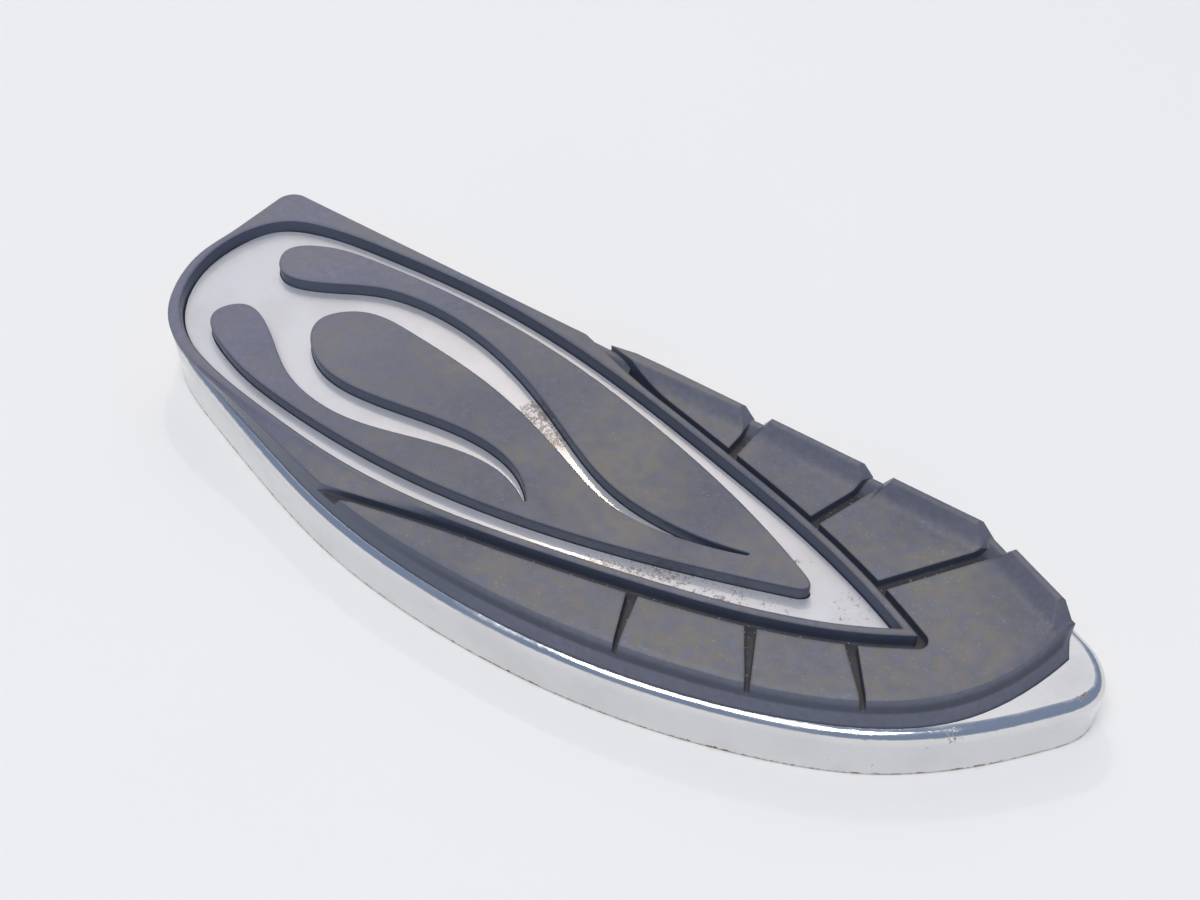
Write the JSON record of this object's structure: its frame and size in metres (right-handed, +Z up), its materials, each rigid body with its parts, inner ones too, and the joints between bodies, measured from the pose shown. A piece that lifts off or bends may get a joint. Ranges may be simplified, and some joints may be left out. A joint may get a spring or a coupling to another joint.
{
  "type": "motorcycle floorboard",
  "caption": "Rider's floorboard: a chromed pan with a moulded rubber tread around a polished plate with flame-shaped rubber, hinged under its inner edge.",
  "frame": {"origin": "centre of the outline in plan, on the plane of the skirt's lower edge", "axes": "+X from the round end to the pointed end, +Y to the inner edge that faces the motorcycle, +Z up"},
  "size_m": [0.358, 0.12, 0.0333],
  "materials": {
    "pan_chrome": "worn chrome plating with rust at the lower edge",
    "tread_rubber": "aged satin rubber with dust",
    "trim_steel": "polished with pitting",
    "fastener_zinc": "dull zinc plating",
    "bracket_steel": "black painted steel"
  },
  "bodies": {
    "root": {"base_pan": "pan_chrome", "rubber_pad": "tread_rubber", "trim_plate": "trim_steel", "trim_studs": "fastener_zinc", "stud_washers": "fastener_zinc", "stud_nuts": "fastener_zinc", "hinge_bracket_front": "bracket_steel", "hinge_bracket_rear": "bracket_steel"}
  },
  "joints": []
}
